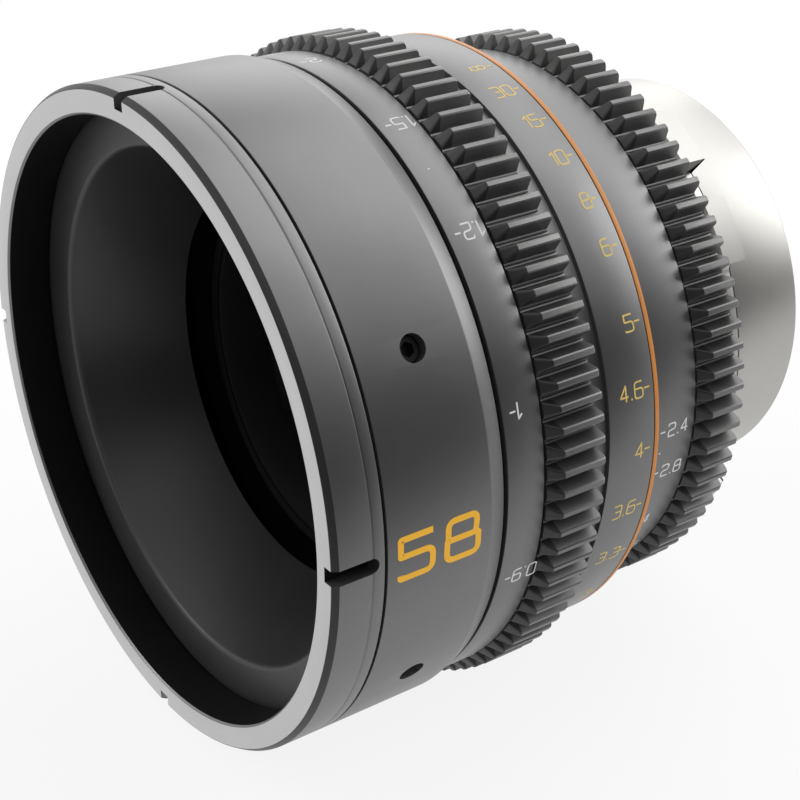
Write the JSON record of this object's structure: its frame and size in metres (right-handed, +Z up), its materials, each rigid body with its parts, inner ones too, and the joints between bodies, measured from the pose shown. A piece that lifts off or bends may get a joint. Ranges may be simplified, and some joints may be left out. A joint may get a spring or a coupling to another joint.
{
  "type": "cinema prime lens",
  "caption": "Cinema prime lens with geared focus and iris rings, a notched front filter ring and a slotted four-wing bayonet mount.",
  "frame": {"origin": "on the optical axis, in the plane of the mount's seat", "axes": "+Y along the optical axis towards the camera, so the front of the lens faces -Y; +Z is up; the side scale index is on +X"},
  "size_m": [0.0816, 0.081, 0.0816],
  "materials": {
    "anodised_grey": "satin grey anodising",
    "black_anodised": "matte black anodising",
    "mount_steel": "satin polished",
    "bright_steel": "bright",
    "black_steel": "blackened",
    "shim_brass": "rolled",
    "orange_paint": "satin orange",
    "coated_glass": "polished, coated",
    "blade_steel": "matte blackened"
  },
  "bodies": {
    "barrel": {"lens_mount": "mount_steel", "mount_screws": "bright_steel", "flange_shim": "shim_brass", "main_barrel": "black_anodised", "index_ring": "orange_paint", "front_barrel": "anodised_grey", "front_set_screws": "black_steel", "filter_ring": "anodised_grey", "front_baffle": "black_anodised", "focus_retainer": "black_anodised", "focus_stop_pin": "bright_steel", "iris_housing": "black_anodised", "iris_retaining_ring": "black_anodised", "iris_clamp_ring": "black_anodised", "rear_cell": "black_anodised", "rear_cell_screws": "bright_steel", "rear_spacer": "black_anodised", "rear_retainer": "black_anodised", "fourth_element": "coated_glass", "fifth_element": "coated_glass", "sixth_element": "coated_glass", "rear_baffle": "black_anodised"},
    "focus": {"focus_ring": "anodised_grey", "focus_gear": "anodised_grey", "metre_scale_ring": "anodised_grey"},
    "front_group": {"front_cell": "black_anodised", "front_retainer": "black_anodised", "front_spacer": "black_anodised", "front_element": "coated_glass", "second_element": "coated_glass", "third_element": "coated_glass", "focus_followers": "bright_steel"},
    "iris_control": {"iris_ring": "anodised_grey", "iris_gear": "anodised_grey", "iris_drive_pin": "bright_steel", "iris_cam_ring": "black_anodised"},
    "blade_1": {"iris_blade_1": "blade_steel"},
    "blade_2": {"iris_blade_2": "blade_steel"},
    "blade_3": {"iris_blade_3": "blade_steel"},
    "blade_4": {"iris_blade_4": "blade_steel"},
    "blade_5": {"iris_blade_5": "blade_steel"},
    "blade_6": {"iris_blade_6": "blade_steel"},
    "blade_7": {"iris_blade_7": "blade_steel"},
    "blade_8": {"iris_blade_8": "blade_steel"},
    "blade_9": {"iris_blade_9": "blade_steel"}
  },
  "joints": [
    {"name": "focus_turn", "type": "hinge", "parent": "barrel", "child": "focus", "pos_m": [0, -0.0345, 0], "axis": [0, 1, 0], "range_deg": [-92.4, 77.6]},
    {"name": "focus_slide", "type": "slide", "parent": "barrel", "child": "front_group", "axis": [0, 1, 0], "range_m": [-0.00272, 0.00229]},
    {"name": "iris_turn", "type": "hinge", "parent": "barrel", "child": "iris_control", "pos_m": [0, -0.0085, 0], "axis": [0, 1, 0], "range_deg": [-66, 0]},
    {"name": "blade_1_pivot", "type": "hinge", "parent": "barrel", "child": "blade_1", "pos_m": [0.0225, -0.0156, 0], "axis": [0, 1, 0], "range_deg": [-29.7, 0.05]},
    {"name": "blade_2_pivot", "type": "hinge", "parent": "barrel", "child": "blade_2", "pos_m": [0.01724, -0.0156, 0.01446], "axis": [0, 1, 0], "range_deg": [-29.7, 0.05]},
    {"name": "blade_3_pivot", "type": "hinge", "parent": "barrel", "child": "blade_3", "pos_m": [0.00391, -0.0156, 0.02216], "axis": [0, 1, 0], "range_deg": [-29.7, 0.05]},
    {"name": "blade_4_pivot", "type": "hinge", "parent": "barrel", "child": "blade_4", "pos_m": [-0.01125, -0.0156, 0.01949], "axis": [0, 1, 0], "range_deg": [-29.7, 0.05]},
    {"name": "blade_5_pivot", "type": "hinge", "parent": "barrel", "child": "blade_5", "pos_m": [-0.02114, -0.0156, 0.0077], "axis": [0, 1, 0], "range_deg": [-29.7, 0.05]},
    {"name": "blade_6_pivot", "type": "hinge", "parent": "barrel", "child": "blade_6", "pos_m": [-0.02114, -0.0156, -0.0077], "axis": [0, 1, 0], "range_deg": [-29.7, 0.05]},
    {"name": "blade_7_pivot", "type": "hinge", "parent": "barrel", "child": "blade_7", "pos_m": [-0.01125, -0.0156, -0.01949], "axis": [0, 1, 0], "range_deg": [-29.7, 0.05]},
    {"name": "blade_8_pivot", "type": "hinge", "parent": "barrel", "child": "blade_8", "pos_m": [0.00391, -0.0156, -0.02216], "axis": [0, 1, 0], "range_deg": [-29.7, 0.05]},
    {"name": "blade_9_pivot", "type": "hinge", "parent": "barrel", "child": "blade_9", "pos_m": [0.01724, -0.0156, -0.01446], "axis": [0, 1, 0], "range_deg": [-29.7, 0.05]}
  ],
  "couplings": [
    {"joint": "focus_slide", "follows": "focus_turn", "m_per_rad": 0.0016852},
    {"joint": "blade_1_pivot", "follows": "iris_turn", "ratio": 0.44848},
    {"joint": "blade_2_pivot", "follows": "iris_turn", "ratio": 0.44848},
    {"joint": "blade_3_pivot", "follows": "iris_turn", "ratio": 0.44848},
    {"joint": "blade_4_pivot", "follows": "iris_turn", "ratio": 0.44848},
    {"joint": "blade_5_pivot", "follows": "iris_turn", "ratio": 0.44848},
    {"joint": "blade_6_pivot", "follows": "iris_turn", "ratio": 0.44848},
    {"joint": "blade_7_pivot", "follows": "iris_turn", "ratio": 0.44848},
    {"joint": "blade_8_pivot", "follows": "iris_turn", "ratio": 0.44848},
    {"joint": "blade_9_pivot", "follows": "iris_turn", "ratio": 0.44848}
  ]
}
